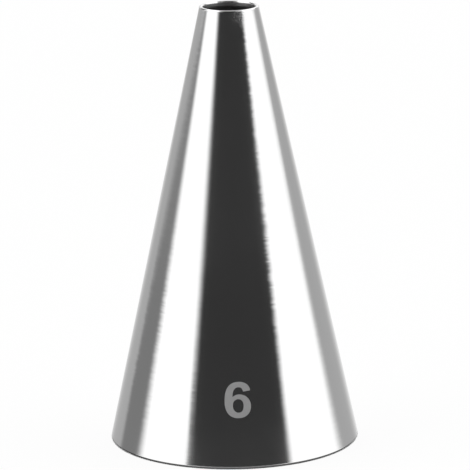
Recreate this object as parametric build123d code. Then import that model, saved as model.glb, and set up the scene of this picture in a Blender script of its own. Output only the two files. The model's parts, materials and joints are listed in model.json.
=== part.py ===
from build123d import *
import math
import os

# Plain round piping nozzle: one cone of thin stainless sheet, open at both ends, with no seam.
# It stands on its wide rim with the outlet up. The bag's cut tip grips the outside of the cone,
# and the cream runs up through it and leaves at the outlet as a round rope.
# Millimetres. The origin is the middle of the wide rim, and +Z is the axis, towards the outlet.

# Driving sizes of the cone
base_diameter = 28.8  # outside, at the wide rim
height = 50.8  # from the wide rim to the outlet's lip
outlet_bore = 6.0  # inside the outlet, the size that the nozzle is sold by
wall = 0.4  # sheet thickness, square to the cone, and the width of the outlet's lip

# Sizing land: the outlet's mouth is pressed on a mandrel, which leaves a short true cylinder
land_length = 0.6
land_lead_in = 0.5  # height of the ramp from the inner cone up to the land

# Edges, tumbled after trimming so that they cut neither the bag nor a finger
lip_outer_round = 0.2
lip_inner_round = 0.2
rim_outer_round = 0.2
rim_inner_round = 0.09

# Worked out from the sizes above
base_radius = base_diameter / 2
bore_radius = outlet_bore / 2
lip_radius = bore_radius + wall
half_angle = math.atan2(base_radius - lip_radius, height)
wall_across = wall / math.cos(half_angle)  # the same sheet, measured level


def outer_radius(z):
    """Radius of the cone's outside at a height."""
    return base_radius - z * math.tan(half_angle)


def inner_radius(z):
    """Radius of the cone's inside at a height, one sheet thickness in from the outside."""
    return outer_radius(z) - wall_across


def sheet_section():
    """Half of the nozzle's section: the wall, from the wide rim up to the lip and down the inside."""
    land_foot = height - land_length
    ramp_foot = land_foot - land_lead_in
    outline = Polyline(
        (base_radius, 0),
        (lip_radius, height),
        (bore_radius, height),
        (bore_radius, land_foot),
        (inner_radius(ramp_foot), ramp_foot),
        (inner_radius(0), 0),
        close=True,
    )
    return make_face(Plane.XZ * outline)


def rounded_ring(shell, level, inner_round, outer_round):
    """Rounds the inner and outer edges of a rim. The level is 0 for the wide rim and -1 for the lip."""
    inner_edge = shell.edges().group_by(Axis.Z)[level].sort_by(SortBy.RADIUS)[0]
    shell = fillet(inner_edge, inner_round)
    outer_edge = shell.edges().group_by(Axis.Z)[level].sort_by(SortBy.RADIUS)[-1]
    return fillet(outer_edge, outer_round)


def nozzle_cone():
    """The whole nozzle, which is one piece of metal."""
    shell = revolve(sheet_section(), Axis.Z)
    shell = rounded_ring(shell, -1, lip_inner_round, lip_outer_round)
    return rounded_ring(shell, 0, rim_inner_round, rim_outer_round)


parts = {"nozzle_cone": nozzle_cone()}

os.makedirs("parts", exist_ok=True)
for name, solid in parts.items():
    solid.label = name
    export_step(solid, f"parts/{name}.step")
    print(name, "volume", round(solid.volume, 1), "size", solid.bounding_box().size)
print("lip outside", 2 * lip_radius, "half angle", round(math.degrees(half_angle), 2))
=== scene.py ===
import bmesh
import bpy
import json
import math
from mathutils import Matrix, Vector


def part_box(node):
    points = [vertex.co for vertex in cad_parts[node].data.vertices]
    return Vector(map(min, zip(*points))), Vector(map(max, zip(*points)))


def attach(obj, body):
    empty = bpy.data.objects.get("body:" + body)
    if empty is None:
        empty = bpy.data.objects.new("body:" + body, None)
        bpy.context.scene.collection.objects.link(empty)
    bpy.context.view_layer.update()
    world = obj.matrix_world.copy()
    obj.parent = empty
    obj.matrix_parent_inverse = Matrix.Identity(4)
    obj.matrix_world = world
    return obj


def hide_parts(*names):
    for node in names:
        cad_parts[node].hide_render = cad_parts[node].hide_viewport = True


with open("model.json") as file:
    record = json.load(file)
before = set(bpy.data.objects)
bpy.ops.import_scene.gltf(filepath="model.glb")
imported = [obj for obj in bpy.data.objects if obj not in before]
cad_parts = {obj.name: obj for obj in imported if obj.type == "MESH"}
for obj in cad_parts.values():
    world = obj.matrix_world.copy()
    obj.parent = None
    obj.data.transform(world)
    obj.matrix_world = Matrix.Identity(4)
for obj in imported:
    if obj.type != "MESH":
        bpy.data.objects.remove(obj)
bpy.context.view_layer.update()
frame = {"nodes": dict(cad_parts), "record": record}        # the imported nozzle, in metres, with its axis along +Z
print("frame loaded:", sorted(frame["nodes"]))

mm = 0.001


class Wire:
    # one output socket, on which sums can be written
    def __init__(self, graph, socket):
        self.graph = graph
        self.socket = socket

    def out(self, name):                      # another output of the same node
        return Wire(self.graph, self.socket.node.outputs[name])

    def __add__(self, other):
        return self.graph.maths("ADD", self, other)

    def __radd__(self, other):
        return self.graph.maths("ADD", other, self)

    def __sub__(self, other):
        return self.graph.maths("SUBTRACT", self, other)

    def __rsub__(self, other):
        return self.graph.maths("SUBTRACT", other, self)

    def __mul__(self, other):
        return self.graph.maths("MULTIPLY", self, other)

    def __rmul__(self, other):
        return self.graph.maths("MULTIPLY", other, self)

    def __truediv__(self, other):
        return self.graph.maths("DIVIDE", self, other)

    def __rtruediv__(self, other):
        return self.graph.maths("DIVIDE", other, self)

    def __pow__(self, other):
        return self.graph.maths("POWER", self, other)

    def __rpow__(self, other):
        return self.graph.maths("POWER", other, self)


class Graph:
    # the nodes of one material, or of the world
    def __init__(self, owner):
        owner.use_nodes = True
        self.tree = owner.node_tree
        self.tree.nodes.clear()

    def node(self, kind, settings, sockets, output=0):
        made = self.tree.nodes.new(kind)
        for name, value in settings.items():  # first, because they decide which sockets there are
            setattr(made, name, value)
        for name, value in sockets.items():
            if isinstance(value, Wire):
                self.tree.links.new(value.socket, made.inputs[name])
            else:
                made.inputs[name].default_value = value
        return Wire(self, made.outputs[output]) if len(made.outputs) else None

    def maths(self, operation, first, second=0.0):
        return self.node("ShaderNodeMath", {"operation": operation}, {0: first, 1: second})

    def ramp(self, value, low, high):         # 0 up to low, 1 from high, smooth between them
        sockets = {"Value": value, "From Min": low, "From Max": high}
        return self.node("ShaderNodeMapRange", {"interpolation_type": "SMOOTHSTEP", "clamp": True}, sockets)

    def span(self, value, low, high, softLow, softHigh):   # 1 between low and high, with soft ends
        rise = self.ramp(value, low - softLow / 2, low + softLow / 2)
        return rise * (1 - self.ramp(value, high - softHigh / 2, high + softHigh / 2))

    def vector(self, x, y, z):
        return self.node("ShaderNodeCombineXYZ", {}, {"X": x, "Y": y, "Z": z})

    def vectorMaths(self, operation, first, second):
        return self.node("ShaderNodeVectorMath", {"operation": operation}, {0: first, 1: second})

    def stretched(self, direction, amount):   # a vector times a number
        return self.node("ShaderNodeVectorMath", {"operation": "SCALE"}, {0: direction, "Scale": amount})

    def mixed(self, share, first, second):    # from the first colour to the second
        sockets = {"Factor": share, "A": first, "B": second}
        return self.node("ShaderNodeMix", {"data_type": "RGBA"}, sockets, "Result")

    def noise(self, place, detail=2.0):       # about -0.5 to 0.5
        sockets = {"Vector": place, "Scale": 1.0, "Detail": detail}
        return self.node("ShaderNodeTexNoise", {"noise_dimensions": "3D"}, sockets, 0) - 0.5


# The cone, worked out from the frame
coneValues = {
    "wall": 0.4 * mm,
    "landLength": 0.6 * mm,       # the true cylinder in the outlet's mouth
    "landLeadIn": 0.5 * mm,
    "lipOuterRound": 0.2 * mm,
    "lipInnerRound": 0.2 * mm,
    "rimOuterRound": 0.2 * mm,
    "rimInnerRound": 0.09 * mm,
    "landRound": 0.06 * mm,       # where the land meets the ramp and the ramp the cone
    "landRoundSteps": 3,
    "sides": 360,
    "levels": 40,                 # rings up the outside
    "innerLevels": 16,
    "supportGap": 0.05 * mm,      # a ring this close to a rounded edge keeps reflections straight up to it
    "roundSteps": 6,
}


def coneShape(values):
    low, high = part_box("nozzle_cone")
    outlet = next(m for m in frame["record"]["mounts"] if m["name"] == "outlet")
    shape = dict(values)
    shape["height"] = high.z - low.z
    shape["boreRadius"] = outlet["dims"]["r_mm"] * mm
    shape["lipRadius"] = shape["boreRadius"] + values["wall"]
    # the box is measured over the rounded rim, so what the round takes off is added again
    wideRadius = (high.x - low.x) / 2
    nearAngle = math.atan2(wideRadius - shape["lipRadius"], shape["height"])
    lostToRound = values["rimOuterRound"] * ((1 + math.sin(nearAngle)) / math.cos(nearAngle) - 1)
    shape["baseRadius"] = wideRadius + lostToRound
    shape["halfAngle"] = math.atan2(shape["baseRadius"] - shape["lipRadius"], shape["height"])
    shape["wallAcross"] = values["wall"] / math.cos(shape["halfAngle"])
    return shape


cone = coneShape(coneValues)


def outerRadius(z):
    return cone["baseRadius"] - z * math.tan(cone["halfAngle"])


def innerRadius(z):
    return outerRadius(z) - cone["wallAcross"]


def selectRing(z, radius):        # the edges of one level ring, in edit mode
    near = 0.005 * mm
    mesh = bmesh.from_edit_mesh(bpy.context.object.data)
    for part in (mesh.faces, mesh.edges, mesh.verts):
        for one in part:
            one.select = False
    for edge in mesh.edges:
        ends = [v.co for v in edge.verts]
        if all(abs(p.z - z) < near and abs(math.hypot(p.x, p.y) - radius) < near for p in ends):
            edge.select_set(True)
    bmesh.update_edit_mesh(bpy.context.object.data)


def addRing(z, radius, fromZ, fromRadius):    # extrudes the selected ring to its next level
    share = radius / fromRadius
    bpy.ops.mesh.extrude_edges_indiv()
    bpy.ops.transform.resize(value=(share, share, 1), center_override=(0, 0, fromZ))
    bpy.ops.transform.translate(value=(0, 0, z - fromZ))


def roundRing(z, radius, roundRadius, cornerAngle, steps):
    selectRing(z, radius)
    setBack = roundRadius / math.tan(cornerAngle / 2)     # from the corner to where its round begins
    bpy.ops.mesh.bevel(offset_type="OFFSET", offset=setBack, segments=steps, profile=0.5, affect="EDGES")


def makeShell():
    height, gap = cone["height"], cone["supportGap"]
    rightAngle = math.pi / 2
    openAngle, tightAngle = rightAngle + cone["halfAngle"], rightAngle - cone["halfAngle"]
    bpy.ops.object.select_all(action="DESELECT")
    bpy.ops.mesh.primitive_cone_add(
        vertices=cone["sides"], radius1=cone["baseRadius"], radius2=cone["lipRadius"], depth=height,
        end_fill_type="NOTHING", location=(0, 0, height / 2))
    shell = bpy.context.object
    shell.name = "nozzle_shell"
    bpy.ops.object.transform_apply(location=True, rotation=False, scale=False)
    bpy.ops.object.mode_set(mode="EDIT")
    bpy.ops.mesh.select_mode(type="EDGE")

    # outside: level rings, and one close to each rounded edge
    rimSupport = cone["rimOuterRound"] / math.tan(tightAngle / 2) + gap
    lipSupport = height - cone["lipOuterRound"] / math.tan(openAngle / 2) - gap
    heights = [rimSupport + (lipSupport - rimSupport) * n / cone["levels"] for n in range(cone["levels"] + 1)]
    for z in heights:
        bpy.ops.mesh.select_all(action="SELECT")
        bpy.ops.mesh.bisect(plane_co=(0, 0, z), plane_no=(0, 0, 1))

    # the lip, the land and its ramp, then down the inside to the rim
    landTop = height - cone["lipInnerRound"] - gap
    landFoot = height - cone["landLength"]
    rampFoot = landFoot - cone["landLeadIn"]
    rimInnerSupport = cone["rimInnerRound"] / math.tan(openAngle / 2) + gap
    rings = [(height, cone["boreRadius"]), (landTop, cone["boreRadius"]), (landFoot, cone["boreRadius"])]
    for n in range(cone["innerLevels"] + 1):
        z = rampFoot + (rimInnerSupport - rampFoot) * n / cone["innerLevels"]
        rings.append((z, innerRadius(z)))
    rings.append((0, innerRadius(0)))
    selectRing(height, cone["lipRadius"])
    lastZ, lastRadius = height, cone["lipRadius"]
    for z, radius in rings:
        addRing(z, radius, lastZ, lastRadius)
        lastZ, lastRadius = z, radius

    # the flat of the wide rim
    mesh = bmesh.from_edit_mesh(shell.data)
    for edge in mesh.edges:
        edge.select_set(edge.is_boundary)
    bmesh.update_edit_mesh(shell.data)
    bpy.ops.mesh.bridge_edge_loops()

    steps = cone["roundSteps"]
    roundRing(height, cone["lipRadius"], cone["lipOuterRound"], openAngle, steps)
    roundRing(height, cone["boreRadius"], cone["lipInnerRound"], rightAngle, steps)
    roundRing(0, cone["baseRadius"], cone["rimOuterRound"], tightAngle, steps)
    roundRing(0, innerRadius(0), cone["rimInnerRound"], openAngle, steps)
    for z in (landFoot, rampFoot):
        selectRing(z, cone["boreRadius"] if z == landFoot else innerRadius(z))
        bpy.ops.mesh.bevel(offset_type="OFFSET", offset=cone["landRound"], segments=cone["landRoundSteps"],
                           affect="EDGES")
    bpy.ops.mesh.select_all(action="SELECT")
    bpy.ops.mesh.normals_make_consistent(inside=False)
    bpy.ops.object.mode_set(mode="OBJECT")
    bpy.ops.object.shade_smooth()
    return shell


# Polished steel: fine marks run round the cone, and the inside is a duller satin, whose colour is also darkened as
# painted shade in the hollow.
# Across and up, a pattern's size is given as repeats per metre, and around the cone as repeats per radius.
steelValues = {
    "colour": (0.66, 0.66, 0.66, 1),
    # the inside's colour: darker than the outside as painted shade in the hollow
    "innerColourAndShade": (0.56, 0.56, 0.56, 1),
    "rimShadeColour": (0.13, 0.13, 0.13, 1),       # painted shade: the wide rim's rounded edge is darkened to a thin dark line where it meets the floor
    "rimShadeTo": 0.02 * mm, "rimShadeClearFrom": 0.05 * mm,      # the painted shade fades out between these, above the height of the edge's round
    "insideFrom": 0.55, "insideTo": 0.8,      # shares of the wall, in from the outside
    "lipFade": 0.04 * mm,                     # the satin fades out this far to each side of the lip's round
    "polish": 0.09,                           # roughness of the outside
    "innerPolish": 0.37,

    "linesAround": 3.0, "linesUp": 9000, "lineDetail": 3.0,
    "lineRoughness": 0.04,
    "lineTilt": 0.03,                         # how far the fine marks tip the surface up and down
    "patchesAcross": 260, "patchesUp": 160, "patchDetail": 3.0,
    "patchRoughness": 0.03,
    "wavesAround": 1.6, "wavesUp": 120, "waveDetail": 1.0,
    "waveTilt": 0.012,                        # long forming waves, sideways

    "rimHaze": 0.025, "rimHazeHeight": 8 * mm,              # a little duller towards the wide rim
    "tipHaze": 0.04, "tipHazeFrom": 14 * mm, "tipHazeTo": 30 * mm,      # and over its upper half

    # a dull, speckled smudge under the lip, to the right of the front
    "smudgeAt": (1.25 * mm, -3.35 * mm, 50.1 * mm),
    "smudgeCore": 0.5 * mm, "smudgeReach": 1.6 * mm,
    "smudgeRoughness": 0.19,
    "specks": 8000.0, "speckDetail": 2.0, "speckFrom": -0.15, "speckTo": 0.2,

    # scuffs, short sideways steps that are seen at the edges of a reflection. Across, as shares of the radius
    # to the right of the axis, and up are each from and to, then how soft these two ends are.
    "scuffsAround": 5.0, "scuffsUp": 8000,
    "scuffTilt": 0.10,
    "scuffEverywhere": 0.12,
    "rightScuffs": {"amount": 0.6, "across": (0.28, 0.62, 0.26, 0.20),
                    "fromHeight": 4 * mm, "toHeight": 26 * mm},
    "leftScuffs": {"amount": 0.6, "across": (-0.97, -0.50, 0.10, 0.30),
                   "up": (4 * mm, 26 * mm, 4 * mm, 8 * mm)},
    # patches of the right ones are worse
    "worstAcross": 150, "worstUp": 120, "worstDetail": 1.0, "worstFrom": -0.2, "worstTo": 0.1,
    "worstExtra": 0.15,
}


def steelMaterial(values):
    material = bpy.data.materials.new("polishedSteel")
    graph = Graph(material)
    place = graph.node("ShaderNodeTexCoord", {}, {}, "Object")
    split = graph.node("ShaderNodeSeparateXYZ", {}, {0: place})
    x, y, z = split, split.out("Y"), split.out("Z")
    radius = (x * x + y * y) ** 0.5
    aroundX, aroundY = x / radius, y / radius

    def ringNoise(turns, perMetre, detail=2.0):   # noise that runs round the cone with no seam
        return graph.noise(graph.vector(aroundX * turns, aroundY * turns, z * perMetre), detail)

    def blockNoise(across, up, detail):
        return graph.noise(graph.vector(x * across, y * across, z * up), detail)

    lines = ringNoise(values["linesAround"], values["linesUp"], values["lineDetail"])
    waves = ringNoise(values["wavesAround"], values["wavesUp"], values["waveDetail"])
    patches = blockNoise(values["patchesAcross"], values["patchesUp"], values["patchDetail"])

    right, left = values["rightScuffs"], values["leftScuffs"]
    worst = blockNoise(values["worstAcross"], values["worstUp"], values["worstDetail"])
    worst = graph.ramp(worst, values["worstFrom"], values["worstTo"])
    onRight = graph.span(aroundX, *right["across"]) * graph.ramp(z, right["fromHeight"], right["toHeight"])
    onLeft = graph.span(aroundX, *left["across"]) * graph.span(z, *left["up"])
    worn = values["scuffEverywhere"] + onRight * (right["amount"] + worst * values["worstExtra"])
    worn = worn + onLeft * left["amount"]
    scuffs = ringNoise(values["scuffsAround"], values["scuffsUp"]) * worn

    outerAtZ = cone["baseRadius"] - z * math.tan(cone["halfAngle"])
    wall = cone["wallAcross"]
    inside = graph.ramp(outerAtZ - radius, wall * values["insideFrom"], wall * values["insideTo"])
    lipFoot = cone["height"] - cone["lipInnerRound"]
    inside = inside * (1 - graph.ramp(z, lipFoot - values["lipFade"], lipFoot + values["lipFade"]))

    rough = values["polish"] + lines * values["lineRoughness"] + patches * values["patchRoughness"]
    rough = rough + (1 - graph.ramp(z, 0.0, values["rimHazeHeight"])) * values["rimHaze"]
    rough = rough + graph.ramp(z, values["tipHazeFrom"], values["tipHazeTo"]) * values["tipHaze"]
    fromSmudge = graph.node("ShaderNodeVectorMath", {"operation": "DISTANCE"},
                            {0: place, 1: values["smudgeAt"]}, "Value")
    specks = graph.noise(graph.stretched(place, values["specks"]), values["speckDetail"])
    specks = graph.ramp(specks, values["speckFrom"], values["speckTo"])
    smudge = (1 - graph.ramp(fromSmudge, values["smudgeCore"], values["smudgeReach"])) * specks
    rough = rough + smudge * values["smudgeRoughness"]
    rough = rough + inside * (values["innerPolish"] - values["polish"])

    # painted shade: the colour darkens to a thin dark line on the rim's rounded edge, where it meets the floor
    edgeTop = cone["rimOuterRound"]
    rimPaintedShade = 1 - graph.ramp(z, edgeTop + values["rimShadeTo"], edgeTop + values["rimShadeClearFrom"])
    # the inside takes the darker colour, painted shade in the hollow, on top of its satin finish
    colour = graph.mixed(inside, values["colour"], values["innerColourAndShade"])
    colour = graph.mixed(rimPaintedShade, colour, values["rimShadeColour"])

    # the surface is tipped sideways by the scuffs and waves, and up and down by the fine marks
    normal = graph.node("ShaderNodeNewGeometry", {}, {}, "Normal")
    sideways = graph.vector(0 - aroundY, aroundX, 0.0)
    sideTilt = scuffs * values["scuffTilt"] + waves * values["waveTilt"]
    tipped = graph.vectorMaths("ADD", normal, graph.stretched(sideways, sideTilt))
    tipped = graph.vectorMaths("ADD", tipped, graph.vector(0.0, 0.0, lines * values["lineTilt"]))
    tipped = graph.node("ShaderNodeVectorMath", {"operation": "NORMALIZE"}, {0: tipped})

    steel = graph.node("ShaderNodeBsdfPrincipled", {}, {
        "Base Color": colour, "Metallic": 1.0, "Roughness": rough, "Normal": tipped})
    graph.node("ShaderNodeOutputMaterial", {}, {"Surface": steel})
    return material


# The etched size numeral, the outlet's bore in millimetres. Its outline is in shares of its height.
numeralValues = {
    "height": 4.13 * mm,
    "upTheSlant": 7.89 * mm,      # from the rim to its middle, along the cone
    "turn": 1.82,                 # degrees round the cone, from the front
    "clear": 0.5 * mm,            # how far before the cone it stands until it is pressed on
    "standsProud": 0.006 * mm,
    "sunk": 0.02 * mm,
    "curveSteps": 16, "cuts": 3,  # points along each stretch of the outline, and cuts across each face
    "weld": 0.0005 * mm,
    "sharpAngle": 35,
    "colour": (0.38, 0.38, 0.38, 1),
    "metallic": 0.35,
    "roughness": 0.55,
    # the etching's grain and its larger blotches, per metre, and how far they vary the colour
    "grain": 16000.0, "grainDetail": 3.0, "grainShade": 0.35, "grainBump": 0.4, "grainDepth": 0.01 * mm,
    "blotches": 1500.0, "blotchDetail": 2.0, "blotchShade": 0.12,
}
# each point is (x, y), then where its incoming and outgoing handles end, from the point
sixOutline = [
    ((0.340, 0.258), (0, 0), (0.002, 0.124)),             # the tip's outer corner
    ((0.043, 0.500), (0.174, 0), (-0.285, 0)),            # top
    ((-0.364, -0.033), (0, 0.341), (0, -0.308)),          # left side
    ((0.016, -0.500), (-0.240, 0), (0.205, 0)),           # foot
    ((0.360, -0.166), (0, -0.205), (0, 0.187)),           # right side of the bowl
    ((0.038, 0.153), (0.175, 0), (-0.099, 0)),            # top of the bowl
    ((-0.145, 0.089), (0.065, 0.027), (0.003, 0.109)),    # where the bowl meets the stem
    ((0.019, 0.350), (-0.134, 0), (0.077, 0)),            # under the hook
    ((0.154, 0.231), (-0.029, 0.080), (0, 0)),            # the tip's inner corner
]
sixHole = [
    ((0.010, 0.023), (0.087, 0), (-0.083, 0)),
    ((-0.137, -0.160), (0, 0.122), (0, -0.118)),
    ((0.012, -0.350), (-0.076, 0), (0.096, 0)),
    ((0.156, -0.159), (0, -0.124), (0, 0.117)),
]


def makeNumeral(values, shell):
    drawing = bpy.data.curves.new("sizeNumeral", "CURVE")
    drawing.dimensions = "2D"
    drawing.fill_mode = "BOTH"
    drawing.resolution_u = values["curveSteps"]
    for outline in (sixOutline, sixHole):
        line = drawing.splines.new("BEZIER")
        line.bezier_points.add(len(outline) - 1)
        line.use_cyclic_u = True
        for point, (at, before, after) in zip(line.bezier_points, outline):
            spot = Vector((*at, 0)) * values["height"]
            point.co = spot
            point.handle_left_type = point.handle_right_type = "FREE"
            point.handle_left = spot + Vector((*before, 0)) * values["height"]
            point.handle_right = spot + Vector((*after, 0)) * values["height"]
    numeral = bpy.data.objects.new("size_numeral", drawing)
    bpy.context.scene.collection.objects.link(numeral)
    bpy.ops.object.select_all(action="DESELECT")
    numeral.select_set(True)
    bpy.context.view_layer.objects.active = numeral
    bpy.ops.object.convert(target="MESH")
    numeral = bpy.context.object
    bpy.ops.object.mode_set(mode="EDIT")
    bpy.ops.mesh.select_all(action="SELECT")
    bpy.ops.mesh.remove_doubles(threshold=values["weld"])
    bpy.ops.mesh.subdivide(number_cuts=values["cuts"])
    bpy.ops.object.mode_set(mode="OBJECT")

    # stood before the cone, leaning with its slant, then pressed onto it
    angle = cone["halfAngle"]
    z = values["upTheSlant"] * math.cos(angle)
    lean = Matrix.Rotation(math.pi / 2 - angle, 4, "X")
    out = Vector((0, -math.cos(angle), math.sin(angle)))
    spot = Vector((0, -outerRadius(z), z)) + out * values["clear"]
    turned = Matrix.Rotation(math.radians(values["turn"]), 4, "Z")
    numeral.matrix_world = turned @ Matrix.Translation(spot) @ lean
    press = numeral.modifiers.new("press", "SHRINKWRAP")
    press.target = shell
    press.wrap_method = "PROJECT"
    press.use_project_z = True
    press.use_positive_direction = False
    press.use_negative_direction = True
    press.offset = values["standsProud"]
    bpy.ops.object.modifier_apply(modifier="press")
    thicken = numeral.modifiers.new("thicken", "SOLIDIFY")
    thicken.thickness = values["standsProud"] + values["sunk"]
    thicken.offset = -1
    bpy.ops.object.modifier_apply(modifier="thicken")
    bpy.ops.object.transform_apply(location=True, rotation=True, scale=True)
    bpy.ops.object.shade_smooth_by_angle(angle=math.radians(values["sharpAngle"]))
    return numeral


def etchedMaterial(values):
    material = bpy.data.materials.new("etchedSteel")
    graph = Graph(material)
    place = graph.node("ShaderNodeTexCoord", {}, {}, "Object")
    grain = graph.noise(graph.stretched(place, values["grain"]), values["grainDetail"])
    blotches = graph.noise(graph.stretched(place, values["blotches"]), values["blotchDetail"])
    shade = 1 + grain * values["grainShade"] + blotches * values["blotchShade"]
    colour = graph.stretched(graph.vector(*values["colour"][:3]), shade)
    bump = graph.node("ShaderNodeBump", {}, {
        "Height": grain, "Strength": values["grainBump"], "Distance": values["grainDepth"]})
    etched = graph.node("ShaderNodeBsdfPrincipled", {}, {
        "Base Color": colour, "Metallic": values["metallic"],
        "Roughness": values["roughness"], "Normal": bump})
    graph.node("ShaderNodeOutputMaterial", {}, {"Surface": etched})
    return material


shell = makeShell()
shell.data.materials.append(steelMaterial(steelValues))
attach(shell, "root")
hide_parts("nozzle_cone")
print("shell made:", len(shell.data.polygons), "faces")

numeral = makeNumeral(numeralValues, shell)
numeral.data.materials.append(etchedMaterial(numeralValues))
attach(numeral, "root")
print("numeral made:", len(numeral.data.polygons), "faces")


# The floor: a disc under the nozzle, which ends just past its rounded rim, and the rest of it, which stays
# out of the reflections
floorValues = {
    "inset": 0.02 * mm,           # how far in from where the cone's straight side would meet the floor
    "farRadius": 4.0,
    "colour": (0.97, 0.97, 0.97, 1),
    "paper": 0.92,                # share of plain white that the camera sees in the far floor
}


def floorMaterial(values, paper):
    material = bpy.data.materials.new("paleFloor")
    graph = Graph(material)
    paint = graph.node("ShaderNodeBsdfDiffuse", {}, {"Color": values["colour"]})
    if paper:
        path = graph.node("ShaderNodeLightPath", {}, {}, "Is Camera Ray")
        seen = graph.maths("MINIMUM", path + path.out("Is Glossy Ray") + path.out("Is Transmission Ray"), 1.0)
        white = graph.node("ShaderNodeEmission", {}, {"Color": (1, 1, 1, 1), "Strength": 1.0})
        paint = graph.node("ShaderNodeMixShader", {}, {0: seen * paper, 1: paint, 2: white})
    graph.node("ShaderNodeOutputMaterial", {}, {"Surface": paint})
    return material


def makeFloor(values):
    nearRadius = cone["baseRadius"] - values["inset"]
    bpy.ops.object.select_all(action="DESELECT")
    bpy.ops.mesh.primitive_circle_add(vertices=cone["sides"], radius=nearRadius, fill_type="NGON")
    nearFloor = bpy.context.object
    nearFloor.name = "floor_near"
    bpy.ops.mesh.primitive_circle_add(vertices=cone["sides"], radius=nearRadius, fill_type="NOTHING")
    farFloor = bpy.context.object
    farFloor.name = "floor_far"
    bpy.ops.object.mode_set(mode="EDIT")
    bpy.ops.mesh.select_all(action="SELECT")
    growth = values["farRadius"] / nearRadius
    bpy.ops.mesh.extrude_edges_indiv()
    bpy.ops.transform.resize(value=(growth, growth, 1), center_override=(0, 0, 0))
    bpy.ops.object.mode_set(mode="OBJECT")
    farFloor.visible_glossy = False
    for part, paper in ((nearFloor, 0), (farFloor, values["paper"])):
        part.data.materials.append(floorMaterial(values, paper))


makeFloor(floorValues)

# The studio round the nozzle. Azimuth is in degrees to the right of the front, and elevation in degrees
# above level.
studioValues = {
    "above": 1.85,                # the light overhead
    "level": 0.97,                # the pale table, where nothing else stands
    "fromLevel": 5, "toAbove": 40,      # the elevations between which one turns into the other
    # an unlit gap overhead, which narrows from the camera's side to the back and is dimly lit there
    "gapLeft": 0.33, "gapRight": 0.46, "gapSoft": 0.10,
    "gapFrom": 20, "gapTo": 28,
    "gapStrength": 0.03,
    "gapBack": 0.55, "gapBackFrom": -0.35, "gapBackTo": -0.10,
}
# each is laid over the ones before it: azimuth from and to, elevation from and to, how soft the left side,
# the right side and the top and foot are, strength.
# Each degree of elevation moves the sides over by the lean and widens the left and right sides' softness by
# softer, and each degree of azimuth lifts the top and foot by the slope.
studioPanels = {
    "rearGreyRight": {"across": (109, 181), "up": (-60, 4), "soft": (5, 5, 4), "strength": 0.53},
    "rearGreyLeft": {"across": (-181, -95), "up": (-60, 4), "soft": (5, 5, 4), "strength": 0.545},
    "rearGlowRight": {"across": (148, 200), "up": (-50, 2), "soft": (26, 26, 6), "strength": 0.92,
                      "lean": -0.86},
    "rearGlowLeft": {"across": (-200, -147), "up": (-50, -6.3), "soft": (26, 26, 2.5), "strength": 0.92,
                     "lean": 1.5},
    "rearGlowMeeting": {"across": (-200, -178), "up": (-50, 2), "soft": (8, 8, 6), "strength": 0.90},
    "leftCard": {"across": (-130.5, -90), "up": (-40, 43.9), "soft": (8, 8, 4), "strength": 0.27,
                 "slope": 0.37},
    "sweepRight": {"across": (150, 200), "up": (5, 28), "soft": (8, 8, 3), "strength": 1.3},
    "sweepLeft": {"across": (-200, -154), "up": (5, 28), "soft": (8, 8, 3), "strength": 1.1},
    "rearCardRight": {"across": (118, 146), "up": (8, 26), "soft": (8, 8, 5), "strength": 0.30},
    "rearCardLeft": {"across": (-150, -114), "up": (8, 42), "soft": (8, 8, 5), "strength": 0.10},
    "rightSoftbox": {"across": (40, 108.4), "up": (-12, 48), "soft": (10, 13, 5), "strength": 1.58,
                     "lean": -1.3},
    "leftSoftbox": {"across": (-97, -30), "up": (-12, 48), "soft": (12, 10, 5), "strength": 1.58,
                    "lean": 0.6},
    "flagTop": {"across": (-27, 30), "up": (30, 62), "soft": (10, 10, 6), "strength": 0.03},
    "frontFlag": {"across": (-42.8, 51.9), "up": (1.5, 36), "soft": (0.1, 2.5, 3), "strength": 0.045,
                  "softer": (1.27, 0.9)},
    "flagFoot": {"across": (-45.1, -30), "up": (1.5, 6.9), "soft": (4.5, 8, 1.2), "strength": 0.045},
}


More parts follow.
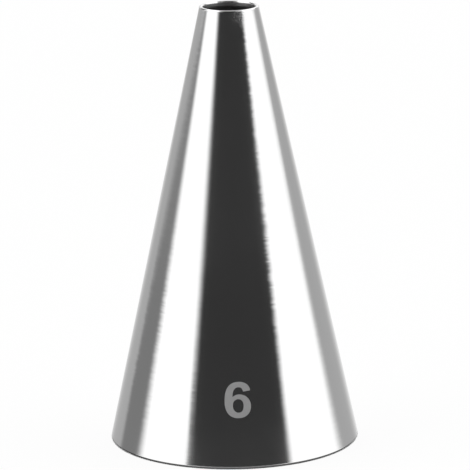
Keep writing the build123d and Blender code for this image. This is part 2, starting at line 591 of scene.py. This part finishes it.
def makeStudio(values, panels):
    world = bpy.data.worlds.new("studio")
    bpy.context.scene.world = world
    graph = Graph(world)
    direction = graph.node("ShaderNodeTexCoord", {}, {}, "Generated")
    split = graph.node("ShaderNodeSeparateXYZ", {}, {0: direction})
    x, y, z = split, split.out("Y"), split.out("Z")
    degrees = 180 / math.pi
    azimuth = graph.maths("ARCTAN2", x, 0 - y) * degrees
    elevation = graph.maths("ARCSINE", z) * degrees
    rise = graph.ramp(elevation, values["fromLevel"], values["toAbove"])
    light = values["level"] + rise * (values["above"] - values["level"])
    gapSoft = values["gapSoft"]
    gap = graph.span(x / (1 - y), -values["gapLeft"], values["gapRight"], gapSoft, gapSoft)
    gap = gap * graph.ramp(elevation, values["gapFrom"], values["gapTo"])
    atBack = graph.ramp(y, values["gapBackFrom"], values["gapBackTo"])
    gapLight = values["gapStrength"] + atBack * values["gapBack"]
    light = light + gap * (gapLight - light)
    aboveLevel = graph.maths("MAXIMUM", elevation, 0.0)
    for panel in panels.values():
        across = azimuth - elevation * panel.get("lean", 0)
        up = elevation - azimuth * panel.get("slope", 0)
        left, right, ends = panel["soft"]
        leftGrowth, rightGrowth = panel.get("softer", (0, 0))
        left, right = aboveLevel * leftGrowth + left, aboveLevel * rightGrowth + right
        cover = graph.span(across, *panel["across"], left, right) * graph.span(up, *panel["up"], ends, ends)
        light = light + cover * (panel["strength"] - light)
    background = graph.node("ShaderNodeBackground", {}, {"Color": (1, 1, 1, 1), "Strength": light})
    graph.node("ShaderNodeOutputWorld", {}, {"Surface": background})


makeStudio(studioValues, studioPanels)
print("studio lit:", len(studioPanels), "panels")

# The photograph's camera: in front, a little above, and turned very slightly
cameraValues = {
    "focal": 4012.8,              # in pixels of the frame
    "frameWidth": 470,
    "sensorWidth": 36,
    "clip": (0.01, 20),
    "distance": 0.45051, "height": 0.13313,
    "pitch": 13.631, "pan": -0.0434, "roll": -0.749,
}


def makeCamera(values):
    lens = bpy.data.cameras.new("photoCamera")
    lens.sensor_width = values["sensorWidth"]
    lens.lens = values["focal"] / values["frameWidth"] * values["sensorWidth"]
    lens.clip_start, lens.clip_end = values["clip"]
    camera = bpy.data.objects.new("photoCamera", lens)
    bpy.context.scene.collection.objects.link(camera)
    turn = Matrix.Rotation(math.radians(values["pan"]), 4, "Z")
    tip = Matrix.Rotation(math.radians(90 - values["pitch"]), 4, "X")
    roll = Matrix.Rotation(math.radians(values["roll"]), 4, "Z")
    camera.matrix_world = Matrix.Translation((0, -values["distance"], values["height"])) @ turn @ tip @ roll
    bpy.context.scene.camera = camera


makeCamera(cameraValues)
bpy.context.scene.view_settings.view_transform = "Standard"
